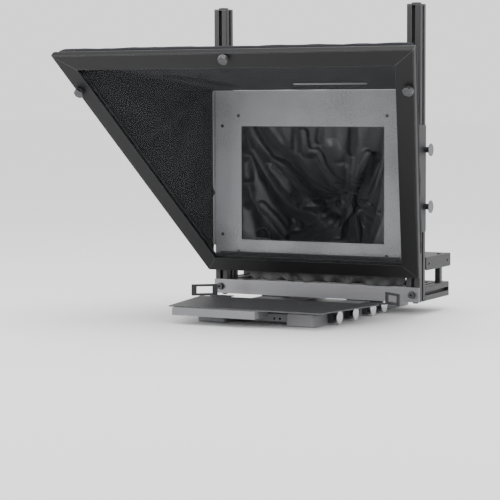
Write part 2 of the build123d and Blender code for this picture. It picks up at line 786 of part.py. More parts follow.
rim_back = frame_back - rim_sheet
rim = trapezoid(1.0, rim_back, frame_back) - trapezoid(1.0 + rim_width, rim_back - 1, frame_back + 1)
rim_low = hinge_leaf_width + 10
rim -= block(
    -frame_half_high, frame_half_high, -frame_below_hinge - 1, rim_low, rim_back - 1, frame_back + 1
)
nut_radius = 5.0
nut_height = 5.0
for x, u in thumb_spots.values():
    rim += Pos(x, u, rim_back - nut_height) * Cylinder(
        nut_radius, nut_height, align=standing
    )
    rim -= Pos(x, u, rim_back - nut_height - 1) * Cylinder(
        thumb_thread / 2 + running, nut_height + rim_sheet + 2, align=standing
    )
keep("hood_rim", glass_plane * rim)


def frame_thumbscrew(x, u):
    """A lobed knob with a collar on the frame's face and its thread through the frame."""
    collar = Pos(0, 0, running) * Cylinder(thumb_radius * 0.6, 3.0, align=standing)
    head = Pos(0, 0, 2.5) * Cylinder(thumb_radius, thumb_head, align=standing)
    head = fillet(head.edges().filter_by(GeomType.CIRCLE), 1.2)
    for turn in range(6):
        head -= Rot(0, 0, turn * 60) * Pos(thumb_radius + 1.2, 0, 0) * Cylinder(2.6, 40)
    head -= Pos(0, 0, 2.5 + thumb_head) * Box(thumb_radius * 1.3, 1.6, 2.4)
    thread_length = frame_depth + rim_sheet + nut_height
    thread = Pos(0, 0, -thread_length) * Cylinder(
        thumb_thread / 2, thread_length + 1, align=standing
    )
    return glass_plane * Pos(x, u, frame_face) * (collar + head + thread)


for name, (x, u) in thumb_spots.items():
    keep(f"frame_thumbscrew_{name}", frame_thumbscrew(x, u))

# ---------------------------------------------------------------- fabric
def glass_point(x, u, z):
    """A point given along the glass, in the part's axes."""
    return glass_plane.from_local_coords(Vector(x, u, z))


def cloth(points, thickness=fabric):
    """A flat panel of cloth through three or four points, thickened to both sides."""
    face = make_face(Polyline(*points, close=True))
    return extrude(face, thickness / 2, both=True)


cloth_level = rim_back - fabric_gap - fabric * 1.3
cloth_inset = rim_width + 3
bottom_u = hinge_leaf_width + 14
side_top_u = frame_top_u - cloth_inset
front_low = glass_point(frame_half(bottom_u, cloth_inset), bottom_u, cloth_level)
front_high = glass_point(frame_half(side_top_u, cloth_inset), side_top_u, cloth_level)
back_x = panel_half + fabric_gap + fabric / 2
back_low = Vector(back_x, flange_front + 4, panel_bottom + hinge_leaf_width + 8)
back_high = Vector(back_x, flange_front + 4, panel_top + fabric_gap + fabric / 2)
side_cloth = cloth([front_low, front_high, back_high]) + cloth([front_low, back_high, back_low])
ceiling_front = glass_point(0, side_top_u, cloth_level)
ceiling = cloth([
    Vector(-front_high.X + 1, ceiling_front.Y, ceiling_front.Z),
    Vector(front_high.X - 1, ceiling_front.Y, ceiling_front.Z),
    Vector(back_x - 1, back_high.Y, back_high.Z),
    Vector(-back_x + 1, back_high.Y, back_high.Z),
])
keep("hood_fabric", both(side_cloth) + ceiling)

# camera shroud: a tapering sleeve from the ring behind the panel to an elastic neck
shroud_front = ring_back + sliding
shroud_back = plate_end + 18
neck_radius = 62.0
neck_z = (window_bottom + window_top) / 2 - 10
mouth_width = 2 * ring_half - 4
mouth_low = window_bottom - 2
mouth_height = ring_high - 2 - mouth_low
mouth_mid = mouth_low + mouth_height / 2


def shroud_form(shrink):
    """The sleeve's form, moved in on all sides."""
    mouth = Plane(origin=(0, shroud_front, mouth_mid), x_dir=(1, 0, 0), z_dir=(0, 1, 0))
    middle = Plane(origin=(0, shroud_back * 0.55, mouth_mid + 6), x_dir=(1, 0, 0), z_dir=(0, 1, 0))
    neck_width = 2 * neck_radius
    neck = Plane(origin=(0, shroud_back, neck_z), x_dir=(1, 0, 0), z_dir=(0, 1, 0))
    return loft([
        mouth * RectangleRounded(mouth_width - 2 * shrink, mouth_height - 2 * shrink, 30),
        middle * RectangleRounded(mouth_width * 0.86 - 2 * shrink, mouth_height * 0.88 - 2 * shrink, 70),
        neck * RectangleRounded(neck_width - 2 * shrink, neck_width - 2 * shrink, neck_radius - shrink - 1),
    ], ruled=True)


shroud = shroud_form(0) - shroud_form(fabric + 0.5)
skirt_front = shroud_front + 11
skirt_low = frame_top + hood_down + 5
skirt = block(-ring_half, ring_half, skirt_front, skirt_front + fabric, skirt_low, mouth_low + 4)
shelf = block(-ring_half, ring_half, shroud_front, skirt_front + fabric, mouth_low, mouth_low + fabric)
keep("camera_shroud", shroud + skirt + shelf)

# ---------------------------------------------------------------- tray
tray_low = tray_top - tray_sheet
outline = Polyline(
    (-tray_front_width / 2, tray_front),
    (tray_front_width / 2, tray_front),
    (tray_back_width / 2, tray_back),
    (-tray_back_width / 2, tray_back),
    close=True,
)
tray = Pos(0, 0, tray_low) * extrude(make_face(outline), tray_sheet)
tray = fillet(tray.edges().filter_by(Axis.Z), 4.0)
vesa = 100.0
vesa_y = (tray_front + tray_back) / 2 - 5
monitor_hole = 2.25
for x in (-vesa / 2, vesa / 2):
    for y in (-vesa / 2, vesa / 2):
        tray -= rod(monitor_hole, (x, vesa_y + y, tray_low - 1), (0, 0, 1), tray_sheet + 2)
keep("tray", tray)


def tray_loop(side):
    """A strap loop: an upright plate with a window, turned across the tray's back corner, on a foot."""
    plate = Box(loop_length, tray_sheet, loop_height)
    window = Box(loop_length - 2 * loop_leg, tray_sheet + 2, loop_height - 2 * loop_bar)
    plate = fillet(plate.edges().filter_by(Axis.Y), 2.0) - window
    middle = Pos(side * loop_x, loop_y, tray_low - tray_sheet + loop_height / 2)
    turned = middle * Rot(0, 0, -side * loop_angle) * plate
    foot = block(side * 150, side * (loop_x - 14), loop_y - 4, loop_y + 12, tray_low - tray_sheet, tray_low)
    foot += block(side * 150, side * 170, tray_back - 14, loop_y + 12, tray_low - tray_sheet, tray_low)
    return turned + foot


keep("tray_loops", tray_loop(-1) + tray_loop(1))

box_front = tray_front - 11
box_back = box_front + box_depth
box_low = tray_low - box_height
tray_box = block(box_left, box_right, box_front, box_back, box_low, tray_low)
tray_box = fillet(tray_box.edges().filter_by(Axis.Z), 1.5)
tray_box -= block(box_left + box_wall, box_right - box_wall, box_front + box_wall, box_back - box_wall,
                  box_low + box_wall, tray_low - box_wall)
keep("tray_box", tray_box)

clamp_half = 10.0
clamp_outer = rail_outer + sliding + clamp_thickness
runner_low = 4.0
runners = None
for y in tray_knob_y:
    jaw = block(rail_outer + sliding, clamp_outer, y - clamp_half, y + clamp_half, runner_low, tray_low)
    pad = block(rail_inner + 6, rail_outer + sliding + 1, y - clamp_half, y + clamp_half,
                rail_height + sliding, tray_low)
    left_jaw = block(-clamp_outer, -rail_outer - sliding, y - clamp_half, y + clamp_half, runner_low, tray_low)
    left_pad = block(-rail_outer - sliding - 1, -rail_inner - 6, y - clamp_half, y + clamp_half,
                     rail_height + sliding, tray_low)
    jaw -= rod(thumb_thread / 2 + running, (rail_outer - 1, y, rail_knob_z), (1, 0, 0), clamp_thickness + 4)
    pair = jaw + pad + left_jaw + left_pad
    runners = pair if runners is None else runners + pair
keep("tray_runners", runners)

frame_clamp = None
for y in frame_knob_y:
    jaw = block(rail_outer, clamp_outer, y - clamp_half, y + clamp_half, runner_low, frame_floor - 1.5)
    jaw = chamfer(jaw.edges().filter_by(Axis.Y).group_by(Axis.Z)[-1], 2.0)
    jaw -= rod(thumb_thread / 2 + running, (rail_outer - 1, y, rail_knob_z), (1, 0, 0), clamp_thickness + 4)
    frame_clamp = jaw if frame_clamp is None else frame_clamp + jaw
bridge = block(rail_outer, rail_outer + 4, frame_knob_y[0], frame_knob_y[1], runner_low, rail_knob_z - 5)
clamp = frame_clamp + bridge
clamp += block(rail_outer, rail_outer + 2, stop_peg_y[0], frame_knob_y[0] - clamp_half + 1, 15.0, 21.0)
for y in stop_peg_y:
    clamp += block(rail_outer, rail_outer + 6, y - 3, y + 3, 6.0, 22.0)
keep("frame_clamp", clamp)

knob_names = ["tray_knob_front", "tray_knob_rear", "frame_knob_front", "frame_knob_rear"]
for name, y in zip(knob_names, tray_knob_y + frame_knob_y):
    foot = (clamp_outer + running, y, rail_knob_z)
    knob = thumb_disc(foot, (1, 0, 0), 9.0, thumb_thread, clamp_thickness - 1)
    keep(name, knob)
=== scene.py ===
# %% [markdown]
# A beam-splitter teleprompter. The rigid parts come from the engineering model, loaded as a fixed frame.
# This lesson gives them their finishes, and sews the cloth hood and the camera shroud that the model
# only holds as plain solids.

# %% Load the frame
from math import atan2, cos, pi, radians, sin

import bpy
from mathutils import Matrix, Vector


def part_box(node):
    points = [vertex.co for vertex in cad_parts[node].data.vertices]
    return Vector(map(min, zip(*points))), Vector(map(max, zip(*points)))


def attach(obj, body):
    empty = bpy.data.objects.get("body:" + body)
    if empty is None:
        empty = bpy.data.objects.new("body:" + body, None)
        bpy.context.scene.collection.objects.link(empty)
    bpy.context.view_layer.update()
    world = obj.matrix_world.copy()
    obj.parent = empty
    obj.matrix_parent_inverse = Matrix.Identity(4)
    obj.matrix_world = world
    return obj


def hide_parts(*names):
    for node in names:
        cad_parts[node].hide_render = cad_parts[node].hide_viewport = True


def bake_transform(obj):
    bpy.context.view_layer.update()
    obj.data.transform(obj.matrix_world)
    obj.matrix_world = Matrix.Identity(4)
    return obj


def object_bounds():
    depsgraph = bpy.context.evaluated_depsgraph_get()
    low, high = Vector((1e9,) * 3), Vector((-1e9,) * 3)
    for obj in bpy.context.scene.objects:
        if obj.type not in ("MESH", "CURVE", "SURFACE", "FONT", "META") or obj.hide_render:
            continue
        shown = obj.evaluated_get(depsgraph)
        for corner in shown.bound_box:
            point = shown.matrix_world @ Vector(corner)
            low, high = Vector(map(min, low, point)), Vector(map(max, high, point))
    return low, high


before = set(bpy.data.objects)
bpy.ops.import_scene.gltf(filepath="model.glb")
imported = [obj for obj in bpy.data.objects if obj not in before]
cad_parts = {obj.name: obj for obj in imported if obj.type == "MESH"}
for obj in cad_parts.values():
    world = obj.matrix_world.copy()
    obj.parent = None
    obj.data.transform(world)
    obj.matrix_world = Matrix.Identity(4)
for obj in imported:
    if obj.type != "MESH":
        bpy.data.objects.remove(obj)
cad_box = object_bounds()


# %% [markdown]
# Every later cell works on one object at a time. The loaded parts arrive selected, and an operator acts on
# all that is selected, so each step starts by clearing the selection.

# %% Small helpers for the modelling steps
def only(piece):
    """Select one piece and make it the active one."""
    bpy.ops.object.select_all(action="DESELECT")
    piece.select_set(True)
    bpy.context.view_layer.objects.active = piece
    return piece


def corners(node):
    """The lowest and highest corner of a part, as vectors."""
    low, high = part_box(node)
    return Vector(low), Vector(high)


def apply_modifier(piece, kind, **settings):
    """Add a modifier, set it and apply it."""
    only(piece)
    modifier = piece.modifiers.new(kind.lower(), kind)
    for name, value in settings.items():
        setattr(modifier, name, value)
    bpy.ops.object.modifier_apply(modifier=modifier.name)


def edit_all(piece):
    """Open a piece in edit mode with everything selected."""
    only(piece)
    bpy.ops.object.mode_set(mode="EDIT")
    bpy.ops.mesh.select_all(action="SELECT")


def edit_where(piece, wanted):
    """Open a piece in edit mode with only the wanted vertices selected, and count them."""
    only(piece)
    bpy.ops.object.mode_set(mode="EDIT")
    bpy.ops.mesh.select_mode(type="VERT")
    bpy.ops.mesh.select_all(action="DESELECT")
    bpy.ops.object.mode_set(mode="OBJECT")
    for vertex in piece.data.vertices:
        vertex.select = wanted(vertex)
    count = sum(vertex.select for vertex in piece.data.vertices)
    bpy.ops.object.mode_set(mode="EDIT")
    return count


def settle(piece):
    """Put a finished piece's place into its mesh and recalculate its normals outwards."""
    only(piece)
    bpy.ops.object.transform_apply(location=True, rotation=True, scale=True)
    edit_all(piece)
    bpy.ops.mesh.remove_doubles(threshold=1e-6)
    bpy.ops.mesh.normals_make_consistent(inside=False)
    bpy.ops.object.mode_set(mode="OBJECT")
    return piece


bpy.ops.object.select_all(action="DESELECT")
print("nothing selected:", len(bpy.context.selected_objects) == 0)

# %% [markdown]
# The camera stands to the reader's right and above the middle of the glass, almost four metres away, with
# a long lens, as for a catalogue picture. Its turn, tilt and roll are plain angles.

# %% Camera
eye = Vector((1.7013, -3.5359, 0.4387))
turn = radians(27.755)
tilt = radians(4.556)
roll = radians(-0.246)
focal_length = 136.16
film_width = 36.0

camera_data = bpy.data.cameras.new("camera")
camera_data.lens = focal_length
camera_data.sensor_width = film_width
camera = bpy.data.objects.new("camera", camera_data)
bpy.context.scene.collection.objects.link(camera)
aim = Matrix.Rotation(turn, 4, "Z")
aim = aim @ Matrix.Rotation(pi / 2 - tilt, 4, "X")
aim = aim @ Matrix.Rotation(roll, 4, "Z")
camera.matrix_world = Matrix.Translation(eye) @ aim
bpy.context.scene.camera = camera
print("camera at", tuple(round(v, 2) for v in eye), "with a", focal_length, "mm lens")

# %% [markdown]
# The floor is a plain pale sheet. A white world gives the soft wrap of a light tent, and three large
# panels shape it: one overhead for the bright top edges, and one at the front left and one at the right
# for the posts and knobs.

# %% Floor and lights
floor_size, floor_drop = 60, 0.0005
paper_level, paper_roughness = 0.97, 0.9
tent_strength = 1.45
light_panels = {
    "top light": {"place": (0.3, -0.4, 2.4), "size": 1.6, "watts": 34},
    "front light": {"place": (-2.2, -3.0, 0.9), "size": 1.5, "watts": 52},
    "right light": {"place": (3.0, -1.0, 1.2), "size": 1.4, "watts": 22},
}

bpy.ops.mesh.primitive_plane_add(size=floor_size, location=(0, 0, -floor_drop))
floor = bpy.context.object
floor.name = "floor"
paper = bpy.data.materials.new("white paper sweep")
paper.use_nodes = True
paper_inputs = paper.node_tree.nodes["Principled BSDF"].inputs
paper_inputs["Base Color"].default_value = (paper_level, paper_level, paper_level, 1)
paper_inputs["Roughness"].default_value = paper_roughness
floor.data.materials.append(paper)

world = bpy.data.worlds.new("light tent")
world.use_nodes = True
tent = world.node_tree.nodes["Background"].inputs
tent["Color"].default_value = (1.0, 1.0, 1.0, 1)
tent["Strength"].default_value = tent_strength
bpy.context.scene.world = world


def light_panel(name, place, towards, size, watts):
    """A square soft light aimed at a point."""
    bpy.ops.object.light_add(type="AREA", location=place)
    lamp = bpy.context.object
    lamp.name = name
    lamp.data.shape = "SQUARE"
    lamp.data.size = size
    lamp.data.energy = watts
    lamp.rotation_euler = (Vector(towards) - Vector(place)).to_track_quat("-Z", "Y").to_euler()


middle = (Vector(cad_box[0]) + Vector(cad_box[1])) / 2
for name, settings in light_panels.items():
    light_panel(name, towards=middle, **settings)


# %% [markdown]
# A finish is written as arithmetic. This class wraps one socket of a material's nodes, so that
# `1 - mask` or `noise * 0.2 + 0.4` adds the Math nodes that say the same thing.

# %% Arithmetic on sockets
class Value:
    """One number, colour or vector that flows through a material's nodes."""

    def __init__(self, tree, socket):
        self.tree = tree
        self.socket = socket

    def math(self, operation, first, second=0.0):
        node = self.tree.nodes.new("ShaderNodeMath")
        node.operation = operation
        for place, value in zip(node.inputs, (first, second)):
            join(self.tree, value, place)
        return Value(self.tree, node.outputs["Value"])

    def __add__(self, other):
        return self.math("ADD", self, other)

    def __radd__(self, other):
        return self.math("ADD", other, self)

    def __sub__(self, other):
        return self.math("SUBTRACT", self, other)

    def __rsub__(self, other):
        return self.math("SUBTRACT", other, self)

    def __mul__(self, other):
        return self.math("MULTIPLY", self, other)

    def __rmul__(self, other):
        return self.math("MULTIPLY", other, self)

    def clamped(self):
        """The same value kept from 0 to 1."""
        return self.math("MINIMUM", self.math("MAXIMUM", self, 0.0), 1.0)


def join(tree, value, place):
    """Link a Value to an input, or write a plain number or colour into it."""
    if isinstance(value, Value):
        tree.links.new(value.socket, place)
    else:
        place.default_value = value


print("a Value knows", [name for name in vars(Value) if name.startswith("__r")])


# %% [markdown]
# Finish holds one material. Its `node` method adds any other kind of node: settings first, then values or
# links for its sockets. The patterns that several finishes share are its other methods.

# %% One material and its nodes
class Finish:
    """A material that is built a node at a time around one Principled shader."""

    def __init__(self, name, **sockets):
        self.material = bpy.data.materials.new(name)
        self.material.use_nodes = True
        self.tree = self.material.node_tree
        self.shader = self.tree.nodes["Principled BSDF"]
        for socket, value in sockets.items():
            self.shader.inputs[socket.replace("_", " ")].default_value = value

    def node(self, kind, output=0, settings=None, sockets=None):
        """Add a node, set it up and return one of its outputs."""
        node = self.tree.nodes.new("ShaderNode" + kind)
        for name, value in (settings or {}).items():
            if name == "stops":
                self.set_stops(node.color_ramp, value)
            else:
                setattr(node, name, value)
        for name, value in (sockets or {}).items():
            join(self.tree, value, node.inputs[name])
        return Value(self.tree, node.outputs[output])

    @staticmethod
    def set_stops(ramp, stops):
        """Give a colour ramp its stops, as pairs of place and grey level."""
        while len(ramp.elements) < len(stops):
            ramp.elements.new(1.0)
        for element, (place, level) in zip(ramp.elements, stops):
            element.position = place
            element.color = (level, level, level, 1)

    def places(self, stretch=(1, 1, 1)):
        """Object coordinates, squeezed or stretched along the axes."""
        here = self.node("TexCoord", "Object")
        return self.node("Mapping", "Vector", sockets={"Vector": here, "Scale": stretch})

    def noise(self, scale, stretch=(1, 1, 1), detail=3.0, where=None):
        """Soft random variation around a half."""
        where = where or self.places(stretch)
        values = {"Vector": where, "Scale": scale, "Detail": detail, "Roughness": 0.55}
        return self.node("TexNoise", "Fac", sockets=values)

    def ramp(self, value, *stops):
        """The value sent through a ramp of grey levels."""
        return self.node("ValToRGB", "Color", settings={"stops": stops}, sockets={"Fac": value})

    def mix(self, factor, first, second):
        """A colour between two others."""
        values = {"Factor": factor, 6: first, 7: second}
        return self.node("Mix", 2, settings={"data_type": "RGBA"}, sockets=values)

    def edges(self, radius):
        """Where the surface turns sharply: 0 on a flat, towards 1 along an edge."""
        rounded = self.node("Bevel", "Normal", settings={"samples": 4}, sockets={"Radius": radius})
        true = self.node("NewGeometry", "Normal")
        same = self.node(
            "VectorMath", "Value", settings={"operation": "DOT_PRODUCT"}, sockets={0: rounded, 1: true}
        )
        return ((1 - same) * 6.0).clamped()

    def bump(self, height, distance, strength=1.0):
        """Feed a height into the shader's normal."""
        values = {"Height": height, "Distance": distance, "Strength": strength}
        self.set("Normal", self.node("Bump", "Normal", sockets=values))

    def set(self, name, value):
        """Feed one of the shader's inputs."""
        join(self.tree, value, self.shader.inputs[name])


def grey(level, blue=1.06):
    """A near-neutral colour with a little more blue than red."""
    return (level, level, level * blue, 1)


print("finishes are ready to be mixed")


# %% [markdown]
# Most of the frame is aluminium that was extruded, cut and anodised black. The die leaves fine lines along
# each length, and handling wears the film off the edges first. So one recipe serves every bar: noise
# stretched along the bar for the lines, and a lighter colour where the surface turns sharply, which is partly
# that wear and partly a painted highlight along the edges.

# %% Metal finishes
along_x, along_y, along_z = (0.02, 1, 1), (1, 0.02, 1), (1, 1, 0.02)
every_way = (1, 1, 1)


def worn_highlit_metal(
    name, dark, light, rough, wear_and_highlight, grain, lines=every_way, metallic=0.0, gloss=0.35, contrast=1.0,
):
    """Coated metal with drawn or sprayed grain, and lighter edges that are partly wear and partly a painted
    highlight.
    """
    edge_radius, grain_height = 0.0009, 0.00008
    cloud_scale, chip_scale = 5.0, 40.0
    darker, lighter = 0.8, 1.2
    finish = Finish(name, Metallic=metallic, Specular_IOR_Level=gloss)
    cloudy = finish.noise(cloud_scale)
    grained = finish.noise(grain, lines)
    # The edges get a lighter colour: partly wear, partly a painted highlight.
    worn_and_highlit = (finish.edges(edge_radius) * (finish.noise(chip_scale) * 1.2 + 0.1) * wear_and_highlight).clamped()
    mottle = ((cloudy * 0.6 + grained * 0.4 - 0.5) * contrast + 0.5).clamped()
    shade = finish.mix(mottle, grey(dark * darker), grey(dark * lighter))
    finish.set("Base Color", finish.mix(worn_and_highlit, shade, grey(light)))
    finish.set("Roughness", (grained * 0.18 + cloudy * 0.10 + rough - 0.14).clamped())
    finish.bump(grained, grain_height)
    return finish.material


bars = {
    way: worn_highlit_metal(
        "black anodised bar along " + way,
        dark=0.030, light=0.26, rough=0.42, wear_and_highlight=0.85, grain=420.0, lines=lines, gloss=0.25,
    )
    for way, lines in (("x", along_x), ("y", along_y), ("z", along_z))
}
powder_black = worn_highlit_metal(
    "black powder coat",
    dark=0.034, light=0.24, rough=0.52, wear_and_highlight=0.7, grain=1400.0,
)
rail_coat = worn_highlit_metal(
    "grey powder coat of the rails",
    dark=0.18, light=0.40, rough=0.50, wear_and_highlight=0.7, grain=1400.0,
)
tray_coat = worn_highlit_metal(
    "dark grey powder coat",
    dark=0.045, light=0.36, rough=0.50, wear_and_highlight=0.8, grain=1400.0,
)
panel_grey = worn_highlit_metal(
    "grey textured powder coat",
    dark=0.27, light=0.46, rough=0.55, wear_and_highlight=0.5, grain=300.0, contrast=8.0,
)
mirror_black = worn_highlit_metal(
    "matt black anodised frame",
    dark=0.011, light=0.36, rough=0.50, wear_and_highlight=0.5, grain=700.0, gloss=0.2,
)
box_coat = worn_highlit_metal(
    "smoky anodised box",
    dark=0.17, light=0.5, rough=0.42, wear_and_highlight=0.5, grain=420.0, lines=along_x,
)
brushed = worn_highlit_metal(
    "brushed aluminium",
    dark=0.19, light=0.56, rough=0.36, wear_and_highlight=0.5, grain=520.0, lines=along_x, metallic=0.6,
)
black_steel = worn_highlit_metal(
    "blackened steel",
    dark=0.045, light=0.40, rough=0.38, wear_and_highlight=0.9, grain=900.0, metallic=0.4,
)
pin_steel = worn_highlit_metal(
    "bright steel",
    dark=0.30, light=0.6, rough=0.30, wear_and_highlight=0.4, grain=900.0, lines=along_x, metallic=0.9,
)
nut_zinc = worn_highlit_metal(
    "zinc plated nut",
    dark=0.30, light=0.6, rough=0.36, wear_and_highlight=0.4, grain=600.0, metallic=0.8,
)
print("metal finishes:", len(bpy.data.materials))


# %% [markdown]
# A clamp knob is two things in one piece: a dark ribbed shank and a bright turned disc on its end. The
# disc starts at a known distance out, so a step on that coordinate parts the two finishes. Rings of fine
# noise around the knob's own axis stand for the marks of the lathe.

# %% Knob finish
def knob_finish(name, centre, start, outward, level):
    """A bright turned disc beyond the start and a dark shank before it, both turned about the X axis."""
    across_axis = (0.0, 1.0, 1.0)
    ring_scale, ring_height, step_sharpness = 1400.0, 0.00003, 4000.0
    edge_radius, shank_level, shank_highlit_worn_level = 0.0006, 0.03, 0.3
    finish = Finish(name)
    here = finish.node("TexCoord", "Object")
    from_axis = finish.node(
        "VectorMath", "Vector", settings={"operation": "SUBTRACT"}, sockets={0: here, 1: centre}
    )
    flat = finish.node(
        "VectorMath", "Vector", settings={"operation": "MULTIPLY"}, sockets={0: from_axis, 1: across_axis}
    )
    distance = finish.node("VectorMath", "Value", settings={"operation": "LENGTH"}, sockets={0: flat})
    rings = finish.node("TexNoise", "Fac", settings={"noise_dimensions": "1D"},
                        sockets={"W": distance, "Scale": ring_scale, "Detail": 2.0})
    along_axis = finish.node("SeparateXYZ", "X", sockets={"Vector": here})
    disc = ((along_axis - start) * (step_sharpness * outward)).clamped()
    # The shank's edges get a lighter colour: partly wear, partly a painted highlight.
    worn_and_highlit = finish.edges(edge_radius) * 0.6
    metal = finish.mix(rings, grey(level * 0.84), grey(level * 1.16))
    dark = finish.mix(worn_and_highlit, grey(shank_level), grey(shank_highlit_worn_level))
    finish.set("Base Color", finish.mix(disc, dark, metal))
    finish.set("Metallic", disc * 0.55 + 0.3)
    finish.set("Roughness", rings * 0.14 + 0.30)
    finish.bump(rings, ring_height)
    return finish.material


knob_nodes = {
    "carriage_knob_left_lower": -1, "carriage_knob_left_upper": -1,
    "carriage_knob_right_lower": 1, "carriage_knob_right_upper": 1,
    "tray_knob_front": 1, "tray_knob_rear": 1, "frame_knob_front": 1, "frame_knob_rear": 1,
}
disc_depth = 0.0024
shaded_level, bright_level = 0.16, 0.69
knob_finishes = {}
for node, outward in knob_nodes.items():
    low, high = corners(node)
    edge = high.x if outward > 0 else low.x
    level = shaded_level if node.startswith("carriage") else bright_level
    start = edge - outward * disc_depth
    knob_finishes[node] = knob_finish("turned " + node, (low + high) / 2, start, outward, level)
print("knob finishes:", len(knob_finishes))


# %% [markdown]
# The lobed screws on the mirror frame stand square to the glass, so they take one finish all over: metal
# with a soft sheen. Plastic and rubber share one fine grain, and the glass is clear with a faint haze.

# %% Plastic, rubber, lobed screws and glass
def moulded(name, level, rough, grain):
    """Moulded plastic or rubber with a fine spark-eroded grain."""
    finish = Finish(name)
    speckle = finish.noise(grain, detail=2.0)
    finish.set("Base Color", finish.mix(speckle, grey(level * 0.8), grey(level * 1.25)))
    finish.set("Roughness", speckle * 0.16 + rough)
    finish.bump(speckle, 0.00006)
    return finish.material


cap_plastic = moulded("black moulded plastic", level=0.020, rough=0.42, grain=1500.0)
cap_grey = moulded("grey moulded plastic", level=0.17, rough=0.45, grain=1500.0)
foam_rubber = moulded("black foam rubber", level=0.012, rough=0.78, grain=2600.0)
lobed_metal = worn_highlit_metal(
    "dull nickel thumbscrew",
    dark=0.07, light=0.5, rough=0.34, wear_and_highlight=0.8, grain=800.0, metallic=0.6,
)

clear_glass = Finish("beam splitter glass", Metallic=0.0, Roughness=0.02, IOR=1.5)
haze = clear_glass.noise(14.0)
clear_tint, hazy_tint = (0.030, 0.034, 0.036, 1), (0.042, 0.046, 0.047, 1)
clear_glass.set("Base Color", clear_glass.mix(haze, clear_tint, hazy_tint))
clear_glass.set("Alpha", haze * 0.03 + 0.05)
print("materials so far:", len(bpy.data.materials))

# %% [markdown]
# Each rigid part now gets its finish. Only the material slot changes: the part's shape and place belong to
# the engineering model.

# %% Dress the rigid parts
finish_of = {
    "base_rail_left": rail_coat, "base_rail_right": rail_coat, "rail_end_caps": cap_grey,
    "tripod_plate": bars["x"], "front_tie": box_coat, "rail_saddles": foam_rubber,
    "cross_rail_front": bars["x"], "cross_rail_rear": bars["x"],
    "side_rail_left": bars["y"], "side_rail_right": bars["y"],
    "post_left": bars["z"], "post_right": bars["z"],
    "profile_caps": cap_plastic, "post_end_screws": black_steel,
    "crossbar": brushed, "crossbar_screws": black_steel,
    "corner_brackets": nut_zinc, "frame_screws": black_steel, "profile_nuts": nut_zinc,
    "camera_plate": powder_black, "camera_plate_columns": bars["z"], "camera_plate_screws": black_steel,
    "frame_clamp": powder_black, "camera_sled": bars["y"], "camera_screw": black_steel,
    "sled_lock_knob": cap_plastic,
    "hood_panel": panel_grey, "shroud_ring": powder_black, "panel_screws": black_steel,
    "carriage_left": powder_black, "carriage_right": powder_black, "slot_nuts": nut_zinc,
    "hinge_leaf_panel": panel_grey, "hinge_pin": pin_steel, "hinge_leaf_mirror": tray_coat,
    "mirror_frame_bottom": mirror_black, "mirror_frame_top": mirror_black,
    "mirror_frame_left": mirror_black, "mirror_frame_right": mirror_black,
    "mirror_glass": clear_glass.material, "glass_gasket": foam_rubber, "glass_retainer": powder_black,
    "hood_rim": powder_black,
    "frame_thumbscrew_top": lobed_metal, "frame_thumbscrew_left": lobed_metal,
    "frame_thumbscrew_right": lobed_metal,
    "tray": tray_coat, "tray_loops": powder_black, "tray_box": box_coat, "tray_runners": powder_black,
    **knob_finishes,
}


def dress(piece, material):
    """Make one material the only one on a piece."""
    if not piece.material_slots:
        piece.data.materials.append(material)
    for slot in piece.material_slots:
        slot.material = material


for node, material in finish_of.items():
    dress(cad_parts[node], material)
print("dressed:", len(finish_of), "of", len(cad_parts))


# %% [markdown]
# The hood is black cloth with a woven face. Its threads follow the sheet and not the room, so the weave
# reads the piece's own UV map: two crossed waves, one thread each way, under a slow stain of wear.

# %% Cloth finish
def woven(name, level, threads, gloss=0.12, rough=0.72):
    """Black cloth: crossed threads, lint and faded patches."""
    patch_scale, lint_scale = 6.0, 220.0
    thread_height, thread_strength = 0.0002, 0.22
    blue = 1.15
    finish = Finish(name, Sheen_Weight=0.03, Sheen_Roughness=0.5, Specular_IOR_Level=gloss)
    cut = finish.node("UVMap", "UV", settings={"uv_map": "UVMap"})
    warp, weft = (
        finish.node("TexWave", "Fac", settings={"bands_direction": way},
                    sockets={"Vector": cut, "Scale": threads, "Distortion": 1.5, "Detail": 1.0})
        for way in ("X", "Y")
    )
    faded = finish.noise(patch_scale, where=cut)
    lint = finish.noise(lint_scale, where=cut)
    tone = (faded * 0.7 + lint * 0.4 - 0.1).clamped()
    finish.set("Base Color", finish.mix(tone, grey(level * 0.7, blue), grey(level * 1.5, blue)))
    finish.set("Roughness", (lint * 0.2 + rough).clamped())
    finish.bump(warp * 0.5 + weft * 0.5 + lint * 0.3, thread_height, thread_strength)
    return finish.material


hood_cloth = woven("black hood cloth", level=0.020, threads=260.0)
shroud_cloth = woven("black shroud cloth", level=0.022, threads=220.0, gloss=0.8, rough=0.36)
skirt_cloth = woven("black skirt cloth", level=0.014, threads=220.0, gloss=0.5, rough=0.42)
tape_cloth = woven("black edging tape", level=0.028, threads=120.0)
print("cloth finishes:", hood_cloth.name, shroud_cloth.name, tape_cloth.name)


# %% [markdown]
# Cloth parts start as lines. A single vertex is extruded from point to point, which gives the edge that a
# tailor would measure, and two such edges are bridged into a sheet.

# %% Lines and sheets
def line(name, points, pieces):
    """An open line through the points, each stretch divided into equal pieces."""
    bpy.ops.object.select_all(action="DESELECT")
    bpy.ops.mesh.primitive_plane_add(size=0.01, location=(0, 0, 0))
    drawn = bpy.context.object
    drawn.name = name
    bpy.ops.object.mode_set(mode="EDIT")
    bpy.ops.mesh.select_all(action="SELECT")
    bpy.ops.mesh.merge(type="CENTER")
    bpy.ops.transform.translate(value=points[0])
    for before, after in zip(points, points[1:]):
        step = Vector(after) - Vector(before)
        bpy.ops.mesh.extrude_vertices_move(TRANSFORM_OT_translate={"value": step})
    bpy.ops.mesh.select_all(action="SELECT")
    bpy.ops.mesh.subdivide(number_cuts=pieces - 1)
    bpy.ops.object.mode_set(mode="OBJECT")
    return drawn


